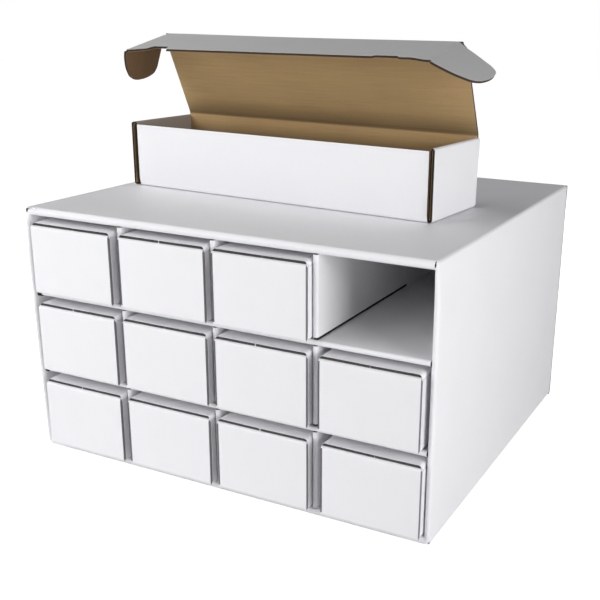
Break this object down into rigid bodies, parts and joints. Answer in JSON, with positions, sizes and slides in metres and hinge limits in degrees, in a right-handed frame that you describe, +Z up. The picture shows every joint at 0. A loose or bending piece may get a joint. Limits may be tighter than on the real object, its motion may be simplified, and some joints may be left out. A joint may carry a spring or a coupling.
{
  "type": "trading card drawer box",
  "caption": "Corrugated cabinet with bays in rows and columns, closed card boxes that slide out like drawers, and one card box standing open on top",
  "frame": {"origin": "middle of the cabinet's underside", "axes": "+X right as seen from the front, +Y to the back, +Z up; the drawers slide out along -Y"},
  "size_m": [0.46, 0.4284, 0.4392],
  "materials": {
    "white_board": "white coated corrugated board, satin",
    "inner_board": "white coated corrugated board in the bays, satin",
    "kraft_board": "uncoated brown kraft inside, white coating outside"
  },
  "bodies": {
    "cabinet": {"top_panel": "white_board", "bottom_panel": "white_board", "left_side_panel": "white_board", "right_side_panel": "white_board", "back_flap_upper": "white_board", "back_flap_lower": "white_board", "top_liner": "inner_board", "bottom_liner": "inner_board", "left_liner": "inner_board", "right_liner": "inner_board", "back_liner": "inner_board", "shelf_upper": "white_board", "shelf_lower": "white_board", "divider_left": "white_board", "divider_middle": "white_board", "divider_right": "white_board"},
    "drawer_row1_col1": {"drawer_tray_row1_col1": "white_board", "drawer_lid_row1_col1": "white_board", "drawer_tuck_flap_row1_col1": "white_board"},
    "drawer_row1_col2": {"drawer_tray_row1_col2": "white_board", "drawer_lid_row1_col2": "white_board", "drawer_tuck_flap_row1_col2": "white_board"},
    "drawer_row1_col3": {"drawer_tray_row1_col3": "white_board", "drawer_lid_row1_col3": "white_board", "drawer_tuck_flap_row1_col3": "white_board"},
    "drawer_row2_col1": {"drawer_tray_row2_col1": "white_board", "drawer_lid_row2_col1": "white_board", "drawer_tuck_flap_row2_col1": "white_board"},
    "drawer_row2_col2": {"drawer_tray_row2_col2": "white_board", "drawer_lid_row2_col2": "white_board", "drawer_tuck_flap_row2_col2": "white_board"},
    "drawer_row2_col3": {"drawer_tray_row2_col3": "white_board", "drawer_lid_row2_col3": "white_board", "drawer_tuck_flap_row2_col3": "white_board"},
    "drawer_row2_col4": {"drawer_tray_row2_col4": "white_board", "drawer_lid_row2_col4": "white_board", "drawer_tuck_flap_row2_col4": "white_board"},
    "drawer_row3_col1": {"drawer_tray_row3_col1": "white_board", "drawer_lid_row3_col1": "white_board", "drawer_tuck_flap_row3_col1": "white_board"},
    "drawer_row3_col2": {"drawer_tray_row3_col2": "white_board", "drawer_lid_row3_col2": "white_board", "drawer_tuck_flap_row3_col2": "white_board"},
    "drawer_row3_col3": {"drawer_tray_row3_col3": "white_board", "drawer_lid_row3_col3": "white_board", "drawer_tuck_flap_row3_col3": "white_board"},
    "drawer_row3_col4": {"drawer_tray_row3_col4": "white_board", "drawer_lid_row3_col4": "white_board", "drawer_tuck_flap_row3_col4": "white_board"},
    "display_tray": {"display_box_tray": "white_board"},
    "display_lid": {"display_box_lid": "kraft_board"},
    "display_tuck_flap": {"display_box_tuck_flap": "white_board"},
    "display_ear_left": {"display_box_ear_left": "white_board"},
    "display_ear_right": {"display_box_ear_right": "white_board"}
  },
  "joints": [
    {"name": "drawer_slide_row1_col1", "type": "slide", "parent": "cabinet", "child": "drawer_row1_col1", "axis": [0, -1, 0], "range_m": [-0.036, 0.378]},
    {"name": "drawer_slide_row1_col2", "type": "slide", "parent": "cabinet", "child": "drawer_row1_col2", "axis": [0, -1, 0], "range_m": [-0.036, 0.378]},
    {"name": "drawer_slide_row1_col3", "type": "slide", "parent": "cabinet", "child": "drawer_row1_col3", "axis": [0, -1, 0], "range_m": [-0.036, 0.378]},
    {"name": "drawer_slide_row2_col1", "type": "slide", "parent": "cabinet", "child": "drawer_row2_col1", "axis": [0, -1, 0], "range_m": [-0.036, 0.378]},
    {"name": "drawer_slide_row2_col2", "type": "slide", "parent": "cabinet", "child": "drawer_row2_col2", "axis": [0, -1, 0], "range_m": [-0.036, 0.378]},
    {"name": "drawer_slide_row2_col3", "type": "slide", "parent": "cabinet", "child": "drawer_row2_col3", "axis": [0, -1, 0], "range_m": [-0.036, 0.378]},
    {"name": "drawer_slide_row2_col4", "type": "slide", "parent": "cabinet", "child": "drawer_row2_col4", "axis": [0, -1, 0], "range_m": [-0.036, 0.378]},
    {"name": "drawer_slide_row3_col1", "type": "slide", "parent": "cabinet", "child": "drawer_row3_col1", "axis": [0, -1, 0], "range_m": [-0.036, 0.378]},
    {"name": "drawer_slide_row3_col2", "type": "slide", "parent": "cabinet", "child": "drawer_row3_col2", "axis": [0, -1, 0], "range_m": [-0.036, 0.378]},
    {"name": "drawer_slide_row3_col3", "type": "slide", "parent": "cabinet", "child": "drawer_row3_col3", "axis": [0, -1, 0], "range_m": [-0.036, 0.378]},
    {"name": "drawer_slide_row3_col4", "type": "slide", "parent": "cabinet", "child": "drawer_row3_col4", "axis": [0, -1, 0], "range_m": [-0.036, 0.378]},
    {"name": "display_box_lift", "type": "slide", "parent": "cabinet", "child": "display_tray", "axis": [0, 0, 1], "range_m": [0, 0.15]},
    {"name": "display_lid_hinge", "type": "hinge", "parent": "display_tray", "child": "display_lid", "pos_m": [-0.01511, 0.03741, 0.34305], "axis": [-0.9971, 0.0755, 0], "range_deg": [-65.8, 17]},
    {"name": "display_tuck_flap_fold", "type": "hinge", "parent": "display_lid", "child": "display_tuck_flap", "pos_m": [-0.01827, -0.00446, 0.4365], "axis": [0.9971, -0.0755, 0], "range_deg": [-78.3, 20.23]},
    {"name": "display_ear_left_fold", "type": "hinge", "parent": "display_tuck_flap", "child": "display_ear_left", "pos_m": [-0.20155, 0.00942, 0.4365], "axis": [-0.0736, -0.972, -0.2233], "range_deg": [-59.22, 15.3]},
    {"name": "display_ear_right_fold", "type": "hinge", "parent": "display_tuck_flap", "child": "display_ear_right", "pos_m": [0.165, -0.01834, 0.4365], "axis": [0.0736, 0.972, 0.2233], "range_deg": [-32.24, 8.33]}
  ],
  "couplings": [
    {"joint": "display_tuck_flap_fold", "follows": "display_lid_hinge", "ratio": 1.19},
    {"joint": "display_ear_left_fold", "follows": "display_lid_hinge", "ratio": 0.9},
    {"joint": "display_ear_right_fold", "follows": "display_lid_hinge", "ratio": 0.49}
  ]
}
